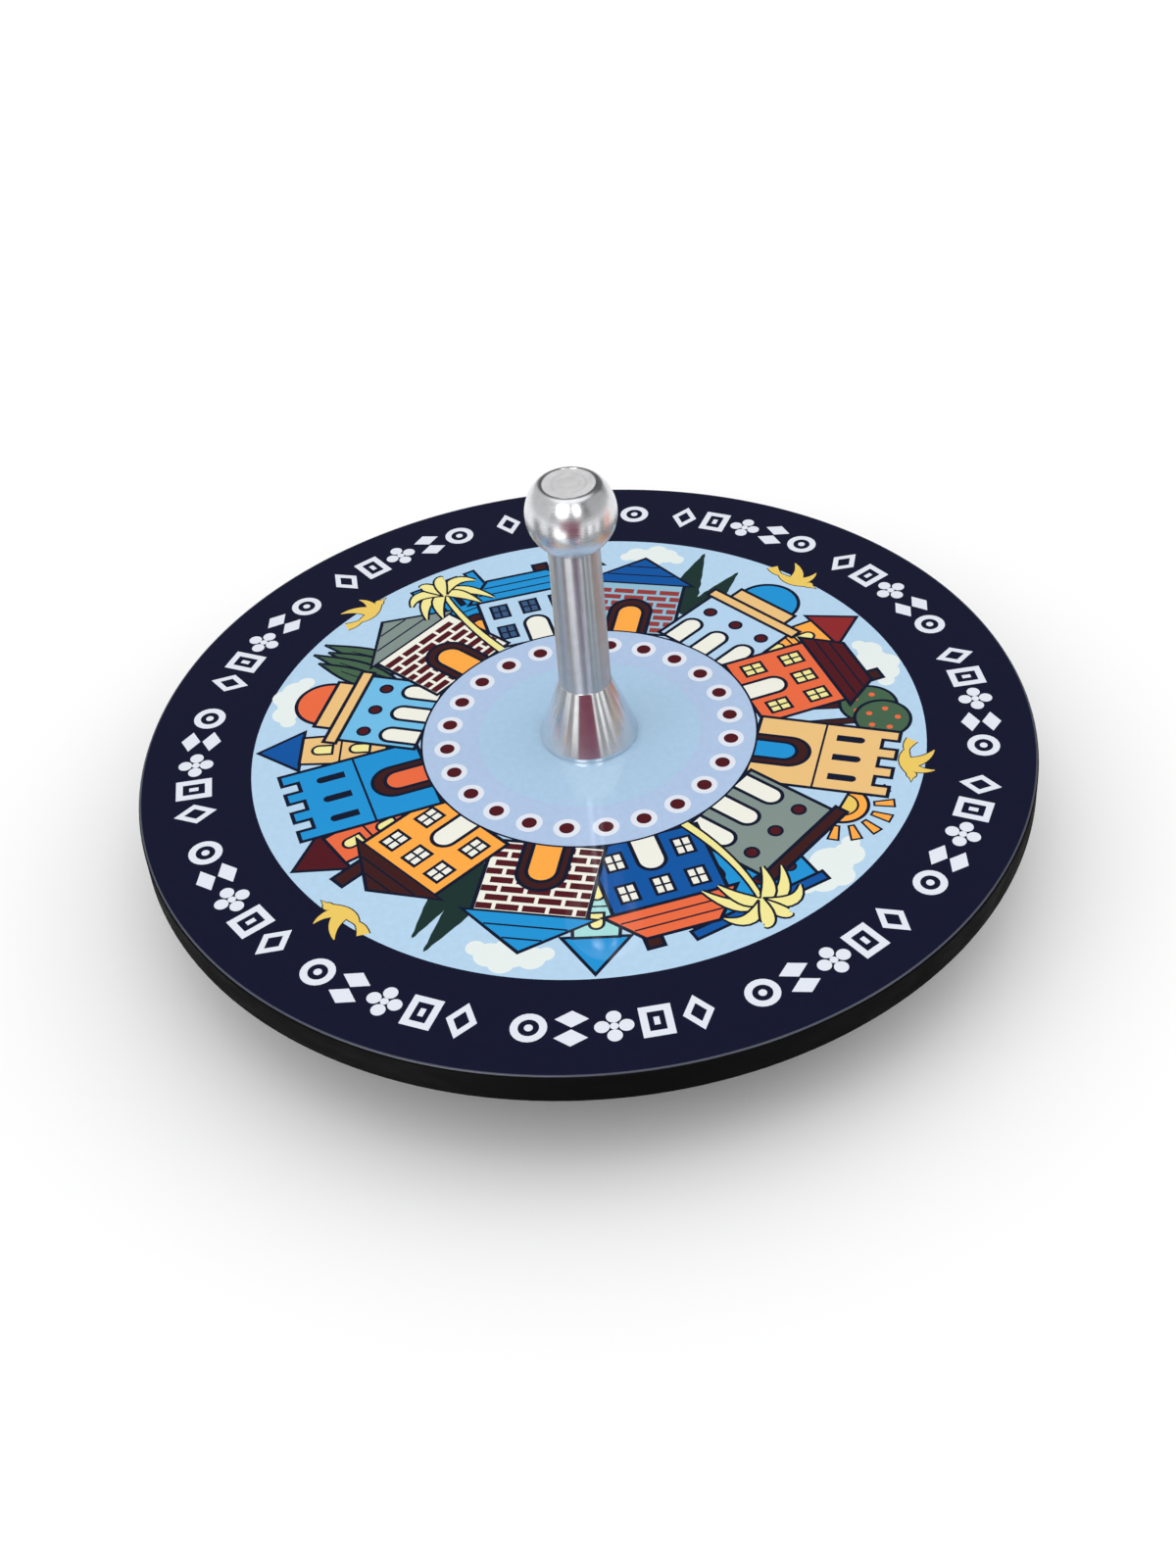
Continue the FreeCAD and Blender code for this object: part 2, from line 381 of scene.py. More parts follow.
def board_material():
    """The black cut edge and back of the board, with fine pores and faint scuffs."""
    material, shader = new_material("black_board")
    tree = material.node_tree
    shader.inputs["Specular IOR Level"].default_value = 0.06
    pores = noise(tree, BOARD_PORES, 4.0)
    scuffs = noise(tree, BOARD_SCUFFS, 5.0, (1, 1, 3))
    tree.links.new(spread_range(tree, scuffs, 0.6, 0.85), shader.inputs["Roughness"])
    tree.links.new(bump(tree, pores, PORE_DEPTH, 0.7), shader.inputs["Normal"])
    vary_colour(tree, shader, BOARD_BLACK, 0.35, scuffs)
    return material


def film_material():
    """The cut edge of the clear film and of the print under it, seen edge on."""
    material, shader = new_material("film_edge")
    tree = material.node_tree
    shader.inputs["Base Color"].default_value = srgb(62, 68, 84)
    shader.inputs["Coat Weight"].default_value = 0.6
    shader.inputs["Coat Roughness"].default_value = 0.1
    shine = noise(tree, EDGE_SHINE, 3.0)
    tree.links.new(spread_range(tree, shine, 0.3, 0.5), shader.inputs["Roughness"])
    tree.links.new(bump(tree, noise(tree, EDGE_DENTS), FILM_WAVE_HEIGHT), shader.inputs["Normal"])
    return material


# ---------------------------------------------------------------- turned pieces

ROUND_STEPS = 160
RIM_STEPS = 192
SUPPORT = 0.04          # how far from a rounded corner its support ring is, in mm
SHARP_ANGLE = math.radians(35)


def add_piece(name, mesh, material, body, replaced):
    piece = bpy.data.objects.new(name, mesh)
    bpy.context.collection.objects.link(piece)
    mesh.materials.append(material)
    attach(piece, body)
    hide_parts(*replaced)
    return piece


def rounded(corners, radius, steps=4):
    """A closed (radius, height) outline in mm, with every corner off the axis rounded.

    A corner may give its own rounding as a third number, and 0 leaves it sharp. Each rounding has
    a support point close to either end, so a long face's smooth shading stays flat up to it.
    """
    outline = []
    count = len(corners)
    for index, (x, y, *own) in enumerate(corners):
        here = complex(x, y)
        if x == 0 or (own and own[0] == 0):
            outline.append(here)
            continue
        before = complex(*corners[index - 1][:2]) - here
        after = complex(*corners[(index + 1) % count][:2]) - here
        back, on = before / abs(before), after / abs(after)
        half = abs(cmath.phase(after / before)) / 2
        wanted = own[0] if own else radius
        cut = min(wanted / math.tan(half), 0.45 * abs(before), 0.45 * abs(after))
        middle = here + (back + on) / 2 * cut / math.cos(half) ** 2
        first, last = here + back * cut, here + on * cut
        turn = cmath.phase((last - middle) / (first - middle))
        outline.append(first + back * min(SUPPORT, 0.05 * abs(before)))
        for step in range(steps + 1):
            outline.append(middle + (first - middle) * cmath.exp(1j * turn * step / steps))
        outline.append(last + on * min(SUPPORT, 0.05 * abs(after)))
    return outline


def lathe(name, outline, segments=ROUND_STEPS):
    """A closed solid of revolution from a closed outline of radius + height * 1j, in mm."""
    mesh = bmesh.new()
    rings = []
    for point in outline:
        if point.real < 1e-6:
            rings.append([mesh.verts.new((0, 0, point.imag * MM))])
            continue
        ring = []
        for step in range(segments):
            spoke = cmath.rect(point.real * MM, 2 * math.pi * step / segments)
            ring.append(mesh.verts.new((spoke.real, spoke.imag, point.imag * MM)))
        rings.append(ring)
    for low, high in zip(rings, rings[1:] + rings[:1]):
        if len(low) == len(high) == 1:
            continue
        for step in range(segments):
            after = (step + 1) % segments
            corners = [low[step % len(low)], low[after % len(low)]]
            corners += [high[after % len(high)], high[step % len(high)]]
            mesh.faces.new(list(dict.fromkeys(corners)))
    bmesh.ops.recalc_face_normals(mesh, faces=mesh.faces)
    data = bpy.data.meshes.new(name)
    mesh.to_mesh(data)
    mesh.free()
    data.shade_smooth()
    data.set_sharp_from_angle(angle=SHARP_ANGLE)
    return data


def top_of(node):
    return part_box(node)[1][2] / MM


def bottom_of(node):
    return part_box(node)[0][2] / MM


def radius_of(node):
    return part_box(node)[1][0] / MM


# sizes in mm that a piece's box doesn't give
BORE = 1.6
EDGE_CHAMFER = 0.12
SHOW_FILM = 0.16        # the width of the film's cut edge that shows outside the print
BASE_LAND = 0.45        # the height of the straight part at a cone's foot
BASE_TOP_RADIUS = 2.64
STEM_FOOT_RADIUS, STEM_TOP_RADIUS = 2.61, 2.5
SEAM_CHAMFER = 0.1
KNOB_CENTRE = 3.48      # above the knob's lower face
KNOB_SHOULDER = 0.8
# inwards from the shoulder's end, and down: the fine groove, and the flat inside it
KNOB_GROOVE = [(0.0, 0.0), (0.02, 0.03), (0.05, 0.03)]
KNOB_FLAT = [(0.07, 0.01), (0.16, 0.01)]
FOOT_LIP_RADIUS = 1.8
FOOT_THREAD = (1.5, 4.9)    # radius and depth
KNOB_THREAD = (1.5, 4.6)
SOCKET_RADIUS = 1.55


def arc(centre, radius, start, end, steps):
    """Points on an arc, from start to end in degrees."""
    turns = [math.radians(start + (end - start) * step / steps) for step in range(steps + 1)]
    return [centre + cmath.rect(radius, turn) for turn in turns]


def make_board():
    low, high, rim = bottom_of("disc_board"), top_of("disc_board"), radius_of("disc_board")
    inner = rim - EDGE_CHAMFER
    corners = [
        (BORE, low, 0.05),
        (inner, low),
        (rim, low + EDGE_CHAMFER),
        (rim, high - EDGE_CHAMFER),
        (inner, high),
        (BORE, high, 0.05),
    ]
    mesh = lathe("board", rounded(corners, 0.06, 3), RIM_STEPS)
    add_piece("board", mesh, board_material(), "spinner", ["disc_board"])


def make_film_edge():
    low, high, rim = bottom_of("printed_sheet"), top_of("clear_film"), radius_of("clear_film")
    inner = rim - SHOW_FILM
    corners = [(inner, low, 0), (rim, low, 0.01), (rim, high, 0.05), (inner, high, 0)]
    mesh = lathe("film_edge", rounded(corners, 0.05), RIM_STEPS)
    add_piece("film_edge", mesh, film_material(), "spinner", ["clear_film"])


def make_handle():
    foot, seam = bottom_of("flared_base"), top_of("flared_base")
    wide = radius_of("flared_base")
    corners = [
        (BORE, foot, 0.05),
        (wide, foot, 0.05),
        (wide, foot + BASE_LAND, 0.1),
        (BASE_TOP_RADIUS, seam, 0.06),
        (BORE, seam, 0.05),
    ]
    metal = turned_metal("turned_aluminium", ALUMINIUM, (0.14, 0.2), 0.65, FINE_PITCH, 0.00000025)
    mesh = lathe("base_flare", rounded(corners, 0.05))
    add_piece("base_flare", mesh, metal, "spinner", ["flared_base"])

    low, high = bottom_of("grip_stem"), top_of("grip_stem")
    corners = [
        (BORE, low, 0.05),
        (STEM_FOOT_RADIUS, low, 0.06),
        (STEM_TOP_RADIUS, high - SEAM_CHAMFER, 0.05),
        (STEM_TOP_RADIUS - SEAM_CHAMFER, high, 0.02),
        (BORE, high, 0.05),
    ]
    metal = turned_metal("satin_aluminium", SATIN_ALUMINIUM, (0.29, 0.39), 0.97, FINE_PITCH, 0.0000003)
    mesh = lathe("stem", rounded(corners, 0.05))
    add_piece("stem", mesh, metal, "spinner", ["grip_stem"])

    make_knob()


def make_knob():
    """The ball: flat below on its seam, a broad flat above with a soft shoulder, and a blind thread."""
    low, high, ball = bottom_of("ball_knob"), top_of("ball_knob"), radius_of("ball_knob")
    centre = complex(0, low + KNOB_CENTRE)
    above = high - centre.imag
    under = math.degrees(math.asin(-KNOB_CENTRE / ball))
    # the shoulder's rounding touches the ball inside and the flat above
    shoulder = centre + complex(math.sqrt((ball - KNOB_SHOULDER) ** 2 - (above - KNOB_SHOULDER) ** 2),
                                above - KNOB_SHOULDER)
    meeting = math.degrees(cmath.phase(shoulder - centre))
    bore, depth = KNOB_THREAD
    outline = [complex(bore, low), complex(bore + 0.5, low)]
    outline += arc(centre, ball, under, meeting, 48)
    outline += arc(shoulder, KNOB_SHOULDER, meeting, 90, 10)[1:]
    rim = shoulder.real - 0.04
    outline += [complex(rim - inwards, high - down) for inwards, down in KNOB_GROOVE + KNOB_FLAT]
    flat = high - KNOB_FLAT[-1][1]
    outline += [complex(0.4, flat), complex(0, flat)]
    outline += [complex(0, low + depth), complex(bore - 0.1, low + depth), complex(bore, low + depth)]
    metal = turned_metal("polished_aluminium", ALUMINIUM, (0.25, 0.31), 0.35, FINE_PITCH, 0.00000012)
    faced = turned_metal(
        "faced_aluminium", FACED_ALUMINIUM, (0.58, 0.75), 0.0, COARSE_PITCH, 0.00001, facing_rings
    )
    mesh = lathe("knob", outline)
    knob = add_piece("knob", mesh, metal, "spinner", ["ball_knob"])
    knob.data.materials.append(faced)
    for face in knob.data.polygons:
        x, y, z = face.center / MM
        if z > flat - 0.002 and math.hypot(x, y) < rim - 0.06:
            face.material_index = 1


def make_underside():
    low, high, wide = bottom_of("tip_foot"), top_of("tip_foot"), radius_of("tip_foot")
    bore, depth = FOOT_THREAD
    ball_centre = (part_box("tip_ball")[0][2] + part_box("tip_ball")[1][2]) / 2 / MM
    mouth = math.degrees(math.asin((low - ball_centre) / SOCKET_RADIUS))
    socket = arc(complex(0, ball_centre), SOCKET_RADIUS, 90, mouth, 12)
    corners = [
        (socket[-1].real, low, 0),
        (FOOT_LIP_RADIUS, low, 0.04),
        (wide, high - BASE_LAND, 0.1),
        (wide, high, 0.05),
        (bore, high, 0.05),
        (bore, high - depth, 0.05),
        (0, high - depth),
    ]
    outline = rounded(corners, 0.05) + socket[:-1]
    metal = turned_metal("turned_foot", ALUMINIUM, (0.14, 0.2), 0.65, FINE_PITCH, 0.00000025)
    add_piece("foot", lathe("foot", outline), metal, "spinner", ["tip_foot"])

    ball = arc(complex(0, ball_centre), radius_of("tip_ball"), -90, 90, 40)
    steel = turned_metal("ball_steel", BALL_STEEL, (0.05, 0.1), 0.0, 0.0004, 0.0000004)
    add_piece("point_ball", lathe("point_ball", ball, 96), steel, "tip", ["tip_ball"])

    low, high, wide = bottom_of("clamp_washer"), top_of("clamp_washer"), radius_of("clamp_washer")
    corners = [(BORE, low), (wide, low), (wide, high), (BORE, high)]
    zinc = turned_metal("zinc_steel", ZINC, (0.22, 0.4), 0.3, COARSE_PITCH, 0.000002, facing_rings)
    mesh = lathe("washer", rounded(corners, 0.06))
    add_piece("washer", mesh, zinc, "spinner", ["clamp_washer"])
    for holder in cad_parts["centre_rod"].material_slots:
        holder.material = zinc


# ---------------------------------------------------------------- drawing on the face

INKS = {
    "navy": (19, 21, 45),
    "outline": (17, 25, 46),
    "sky": (178, 208, 232),
    "haze": (226, 234, 232),
    "periwinkle": (173, 195, 225),
    "pale_blue": (177, 207, 233),
    "hub": (170, 200, 226),
    "cream": (236, 235, 224),
    "marks": (222, 227, 237),
    "maroon": (80, 24, 32),
    "brick": (146, 60, 58),
    "sail": (140, 42, 44),
    "orange": (230, 106, 66),
    "amber": (250, 168, 72),
    "straw": (232, 198, 98),
    "lemon": (238, 228, 150),
    "sand": (232, 190, 126),
    "blue": (34, 144, 208),
    "deep_blue": (18, 84, 158),
    "cyan": (112, 186, 226),
    "dusk": (58, 88, 126),
    "mint": (162, 216, 214),
    "slate": (127, 142, 137),
    "brown": (61, 29, 30),
    "pine": (29, 51, 48),
    "leaf": (69, 98, 74),
    "mortar": (142, 184, 206),
}
# how much the shade of an ink varies, where it covers a large area
GRAINED = {"navy": 0.06, "sky": 0.03, "periwinkle": 0.03, "hub": 0.03}
LINE = 0.34             # the width of the dark outlines, in mm
CURVE_STEP = 0.35       # the longest straight run in a drawn curve, in mm

PRINT_RADIUS = 44.72    # the film's cut edge shows outside it
SKY_RADIUS = 33.97
CENTRE_RADIUS = 17.1
HUB_RADIUS = 11.25
DOT_CIRCLE, DOT_RADIUS, DOT_HALO = 14.42, 0.74, 1.3
DOTS, FIRST_DOT = 24, 3.25
MARK_CIRCLE = 39.6
MARK_SCALE = 1.3
MARK_GROUPS, MARK_PITCH = 12, 5.35      # five marks in each group, this many degrees apart

drawn = []              # (ink, outline) from the lowest to the topmost


def steps_round(radius, span=360):
    return max(8, math.ceil(math.radians(span) * radius / CURVE_STEP))


def circle(centre, radius):
    return arc(centre, radius, 0, 360, max(18, steps_round(radius)))[:-1]


def dome(centre, radius):
    """A half disc, flat below."""
    return arc(centre, radius, 0, 180, steps_round(radius, 180))


def box(left, low, right, high):
    return [complex(left, low), complex(right, low), complex(right, high), complex(left, high)]


def tapered(low, high, foot, head):
    below = [complex(-foot / 2, low), complex(foot / 2, low)]
    return below + [complex(head / 2, high), complex(-head / 2, high)]


def arched(middle, low, width, height):
    """A window or a door with a round head."""
    half = width / 2
    head = dome(complex(middle, low + height - half), half)
    return [complex(middle - half, low), complex(middle + half, low)] + head


def battlements(left, right, low, high, teeth, rise):
    """A wall whose top steps down and up between high and high - rise."""
    outline = [complex(left, low), complex(right, low)]
    count = 2 * teeth - 1
    pitch = (right - left) / count
    for step in range(count):
        level = high - rise * (step % 2)
        outline += [complex(right - step * pitch, level), complex(right - (step + 1) * pitch, level)]
    return outline


def ribbon(points, widths):
    """A stroke along points, as wide as widths says at its start, and at its end or point by point."""
    if len(widths) == 2:
        last = len(points) - 1
        widths = [widths[0] + (widths[1] - widths[0]) * index / last for index in range(len(points))]
    left, right = [], []
    for index, point in enumerate(points):
        along = points[min(index + 1, len(points) - 1)] - points[max(index - 1, 0)]
        across = along / abs(along) * 1j * widths[index] / 2
        left.append(point + across)
        right.append(point - across)
    return right + left[::-1]


def curve(start, bend, end, steps=10):
    """Points on a quadratic curve."""
    shares = [step / steps for step in range(steps + 1)]
    return [start * (1 - s) ** 2 + bend * 2 * s * (1 - s) + end * s**2 for s in shares]


def leaf(foot, tip, width, steps=9):
    """A pointed leaf from foot to tip."""
    shares = [step / steps for step in range(steps + 1)]
    spread = [width * math.sin(math.pi * share**0.85) for share in shares]
    return ribbon([foot + (tip - foot) * share for share in shares], [max(w, 0.04) for w in spread])


def area_of(outline):
    return sum((a.conjugate() * b).imag for a, b in zip(outline, outline[1:] + outline[:1])) / 2


def grown(outline, width):
    """The outline moved outwards by width, with its corners kept sharp up to a limit."""
    points = [p for p, q in zip(outline, outline[1:] + outline[:1]) if abs(p - q) > 1e-6]
    side = -1j if area_of(points) > 0 else 1j
    moved = []
    for before, here, after in zip(points[-1:] + points[:-1], points, points[1:] + points[:1]):
        first, second = (here - before) / abs(here - before), (after - here) / abs(after - here)
        middle = first + second
        if abs(middle) < 0.35:
            moved += [here + (first * side + first) * width, here + (second * side - second) * width]
            continue
        middle /= abs(middle)
        reach = width / max(0.45, (middle * first.conjugate()).real)
        moved.append(here + middle * side * reach)
    return moved


class Spot:
    """A place on the face for a drawing: its x runs clockwise, and its y outwards from the centre."""

    def __init__(self, angle, radius=0.0, lean=0.0, scale=1.0):
        self.foot = cmath.rect(radius, math.radians(angle))
        self.turn = cmath.rect(scale, math.radians(angle - 90 + lean))

    def fill(self, ink, *outlines):
        for outline in outlines:
            drawn.append((ink, [self.foot + self.turn * point for point in outline]))

    def ink(self, ink, *outlines, line=LINE):
        """Filled outlines with a dark line round them."""
        for outline in outlines:
            self.fill("outline", grown(outline, line * 0.6))
            self.fill(ink, grown(outline, -line * 0.4))

    def stroke(self, ink, points, *widths):
        self.fill(ink, ribbon(points, widths if len(widths) > 1 else widths * 2))

    def bricks(self, ink, left, right, low, high, size, gap):
        """Courses of bricks, each course half a brick on from the one below it."""
        wide, tall = size
        row = 0
        level = low
        while level + tall <= high:
            start = left - (wide + gap) / 2 * (row % 2)
            while start < right:
                first, last = max(start, left), min(start + wide, right)
                if last - first > 0.25 * wide:
                    self.fill(ink, box(first, level, last, level + tall))
                start += wide + gap
            level += tall + gap
            row += 1


# ---------------------------------------------------------------- the rings


def draw_rings():
    face = Spot(90)
    face.fill("navy", circle(0, PRINT_RADIUS))
    face.fill("sky", circle(0, SKY_RADIUS))


def draw_centre():
    face = Spot(90)
    face.fill("outline", circle(0, CENTRE_RADIUS))
    face.fill("periwinkle", circle(0, CENTRE_RADIUS - 0.22))
    face.fill("hub", circle(0, HUB_RADIUS))
    for step in range(DOTS):
        dot = Spot(FIRST_DOT + 360 / DOTS * step, DOT_CIRCLE)
        dot.fill("marks", circle(0, DOT_HALO))
        dot.fill("maroon", circle(0, DOT_RADIUS))


def draw_diamond(spot):
    outer = [-1.6j, 1.1, 1.6j, -1.1]
    spot.fill("marks", outer)
    spot.fill("navy", [point * 0.52 for point in outer])


def draw_roundel(spot):
    spot.fill("marks", circle(0, 1.25))
    spot.fill("navy", circle(0, 0.72))
    spot.fill("marks", circle(0, 0.3))


def draw_frame(spot):
    spot.fill("marks", box(-1.1, -1.35, 1.1, 1.35))
    spot.fill("navy", box(-0.58, -0.83, 0.58, 0.83))
    spot.fill("marks", box(-0.2, -0.35, 0.2, 0.35))


def draw_quatrefoil(spot):
    for quarter in range(4):
        spot.fill("marks", circle(0.82j * 1j**quarter, 0.52))
    spot.fill("marks", circle(0, 0.3))


def draw_pair(spot):
    for middle in (-0.82j, 0.82j):
        spot.fill("marks", [middle - 0.74j, middle + 1.15, middle + 0.74j, middle - 1.15])


def draw_ornament():
    """A frieze of small geometric marks round the navy ring, where the real object has lettering."""
    marks = [draw_diamond, draw_frame, draw_quatrefoil, draw_pair, draw_roundel]
    for group in range(MARK_GROUPS):
        for step, draw_mark in enumerate(marks):
            angle = 360 / MARK_GROUPS * group - MARK_PITCH * (step - 2)
            draw_mark(Spot(angle, MARK_CIRCLE, scale=MARK_SCALE))


# ---------------------------------------------------------------- a made-up town


def draw_bird(spot):
    """A plain flying bird, heading along x."""
    body = curve(-2.6 - 0.2j, -0.2 - 1.0j, 2.3 + 0.5j, 8)
    tail = curve(-2.2 - 0.3j, -3.2 - 0.4j, -4.3 + 0.3j, 4)
    near_wing = curve(0.1 + 0.0j, -0.3 + 2.1j, -2.6 + 3.1j, 8)
    far_wing = curve(0.6 + 0.1j, 1.8 + 1.5j, 1.2 + 3.3j, 8)
    parts = [
        (body, [0.3, 0.8, 1.15, 1.35, 1.45, 1.4, 1.2, 0.95, 0.7]),
        (tail, [0.5, 0.8, 1.1, 1.3, 1.5]),
        (near_wing, [1.9, 1.8, 1.65, 1.45, 1.25, 1.0, 0.75, 0.45, 0.1]),
        (far_wing, [1.4, 1.4, 1.3, 1.2, 1.0, 0.8, 0.6, 0.35, 0.1]),
    ]
    head = circle(2.3 + 0.5j, 0.58)
    beak = [2.7 + 0.8j, 3.6 + 0.5j, 2.7 + 0.2j]
    spot.fill("outline", *(ribbon(line, [width + 0.3 for width in widths]) for line, widths in parts))
    spot.fill("outline", grown(head, 0.15), grown(beak, 0.12))
    spot.fill("straw", *(ribbon(line, widths) for line, widths in parts), head, beak)


def draw_cloud(spot, scale=1.0):
    puffs = [
        (0, 2.1), (2.2 + 0.7j, 1.6), (-2.1 + 0.5j, 1.5),
        (0.7 + 1.6j, 1.4), (-3.4 - 0.3j, 0.9), (3.8, 1.0),
    ]
    for middle, radius in puffs:
        spot.fill("haze", circle(middle * scale, radius * scale))


def draw_sun(spot):
    """Half a sun with seven rays."""
    for ray in range(7):
        way = cmath.rect(1, math.radians(12 + 26 * ray))
        spot.ink("amber", ribbon([3.1 * way, 5.0 * way], (0.5, 1.0)), line=0.22)
    spot.ink("amber", dome(0, 2.5))
    spot.ink("straw", dome(0, 1.5), line=0.22)


def draw_palm(spot, height, sway, scale=1.0):
    """A thin bending trunk with drooping fronds."""
    crown = complex(sway, height)
    trunk = curve(0, complex(sway - 1.2, height * 0.55), crown)
    spot.stroke("outline", trunk, 1.25, 0.85)
    spot.stroke("lemon", trunk, 0.75, 0.4)
    widths = [0.4, 0.9, 1.25, 1.4, 1.45, 1.35, 1.15, 0.85, 0.5, 0.08]
    # each frond's direction in degrees, its reach, and how far it droops
    fronds = [
        (172, 4.8, 0.85), (205, 3.2, 0.95), (150, 5.6, 0.45), (-8, 4.8, 0.85),
        (-28, 3.2, 0.95), (28, 5.6, 0.45), (112, 4.6, 0.2), (66, 4.8, 0.2),
    ]
    for turn, reach, droop in fronds:
        out = cmath.rect(reach * scale, math.radians(turn))
        sag = complex(0, -droop * reach * scale)
        line = curve(crown, crown + out * 0.6 + 0.3 * abs(out) * 1j, crown + out + sag, 9)
        spot.fill("outline", ribbon(line, [w * scale + 0.5 for w in widths]))
        spot.fill("lemon", ribbon(line, [w * scale for w in widths]))


def draw_pine(spot, height, width):
    """A dark pointed tree with ragged sides."""
    tiers = 7
    right = [complex(width * 0.36, 0)]
    for tier in range(tiers):
        share = (tier + 0.4) / tiers
        reach = width / 2 * (1 - share**1.3)
        right += [complex(reach, height * share), complex(reach * 0.84, height * (share + 0.05))]
    spot.fill("pine", right + [complex(0, height)] + [-p.conjugate() for p in right[::-1]])


def draw_leaf_tree(spot, height, width):
    """A slim tree like an upright leaf, with its trunk showing as a vein."""
    spot.ink("leaf", leaf(0j, complex(0, height), width))
    spot.stroke("outline", [0j, complex(0, height * 0.7)], 0.24, 0.12)


def draw_round_tree(spot, height, spread):
    spot.ink("brown", box(-0.4, 0, 0.4, height - spread), line=0.2)
    spot.ink("leaf", circle(complex(0, height - spread), spread))
    for step in range(5):
        fruit = complex(0, height - spread) + cmath.rect(spread * 0.55, math.radians(90 + 72 * step))
        spot.fill("orange", circle(fruit, 0.32))


def draw_windows(spot, pane, columns, rows, wide=1.5, tall=1.9):
    """A window with cross bars at each column and row."""
    for x in columns:
        left, right = x - wide / 2, x + wide / 2
        for y in rows:
            spot.ink(pane, box(left, y, right, y + tall), line=0.28)
            spot.stroke("outline", [complex(x, y), complex(x, y + tall)], 0.2)
            spot.stroke("outline", [complex(left, y + tall / 2), complex(right, y + tall / 2)], 0.2)


def draw_roof(spot, ink, half, low, rise, ridge):
    """A pitched roof with rows of tiles; ridge is its top's share of its foot, and 0 makes a gable."""
    eaves, top = half + 0.8, low + rise
    peak = [complex(eaves * ridge, top), complex(-eaves * ridge, top)] if ridge else [complex(0, top)]
    spot.ink(ink, [complex(-eaves, low), complex(eaves, low)] + peak)
    for share in (0.33, 0.66):
        reach, level = eaves * (1 - share * (1 - ridge)) - 0.25, low + rise * share
        spot.stroke("outline", [complex(-reach, level), complex(reach, level)], 0.18)


def draw_house(spot, wall, roof, pane, half, top, ridge=0.55):
    """A house with a chimney, a tiled roof, a round-headed door and two floors of windows."""
    spot.ink("brown", box(half * 0.4, top, half * 0.4 + 1.3, top + 4.4))
    spot.ink(wall, box(-half, 0, half, top))
    draw_roof(spot, roof, half, top, 3.3, ridge)
    draw_windows(spot, pane, (-half * 0.62, half * 0.62), (1.2, top - 3.0))
    draw_windows(spot, pane, (0,), (top - 3.0,))
    spot.ink("cream", arched(0, 0, half * 0.48, top * 0.5))


def draw_brick_house(spot, brick, ground, roof, half, top):
    """The same in brick, under a gable, with a wide arched door."""
    spot.ink(ground, box(-half, 0, half, top))
    spot.bricks(brick, -half + 0.15, half - 0.15, 0.3, top - 0.1, (1.9, 0.68), 0.32)
    draw_roof(spot, roof, half, top, 4.2, 0)
    spot.ink("brown", arched(0, 0, half * 0.86, top * 0.66))
    spot.ink("amber", arched(0, 0, half * 0.54, top * 0.54))


def draw_keep(spot, wall, door, half, top):
    """A square keep with battlements, arrow slits and a framed door."""
    spot.ink(wall, battlements(-half, half, 0, top, 4, 1.4))
    spot.fill("outline", *(arched(x, top - 5.4, 0.8, 2.5) for x in (-half * 0.6, 0, half * 0.6)))
    spot.stroke("outline", [complex(-half, top - 6.5), complex(half, top - 6.5)], 0.2)
    spot.ink("brown", arched(0, 0, half * 0.85, top * 0.4))
    spot.ink(door, arched(0, 0, half * 0.52, top * 0.31))


def draw_arcade(spot, wall, cornice, half, top, count):
    """A hall with a row of open arches, a round window over each, and a cornice."""
    pitch = 2 * half / count
    middles = [pitch * (step + 0.5) - half for step in range(count)]
    spot.ink(wall, box(-half, 0, half, top))
    spot.ink("cream", *(arched(x, 0, pitch * 0.6, top * 0.5) for x in middles))
    spot.ink("maroon", *(circle(complex(x, top * 0.73), pitch * 0.17) for x in middles), line=0.24)
    spot.ink(cornice, box(-half - 0.5, top, half + 0.5, top + 1.1))


def draw_domed_hall(spot, wall, cap, half, top):
    """An arcade under a dome on a drum."""
    spot.ink(cap, dome(complex(0, top + 2.6), half * 0.62))
    spot.ink("sand", box(-half * 0.7, top + 1.0, half * 0.7, top + 2.7))
    draw_arcade(spot, wall, "sand", half, top, 3)


def draw_tower(spot, wall, cap, width, top):
    """A tapering tower with a pointed cap and two round-headed windows."""
    eaves = width * 0.62
    spot.ink(cap, [complex(-eaves, top), complex(eaves, top), complex(0, top + width * 0.9)])
    spot.ink(wall, tapered(0, top, width, width * 0.84))
    spot.ink("lemon", *(arched(0, top * share, 1.3, 2.0) for share in (0.2, 0.64)), line=0.28)
    ledge, level = width * 0.45, top * 0.54
    spot.stroke("outline", [complex(-ledge, level), complex(ledge, level)], 0.22)


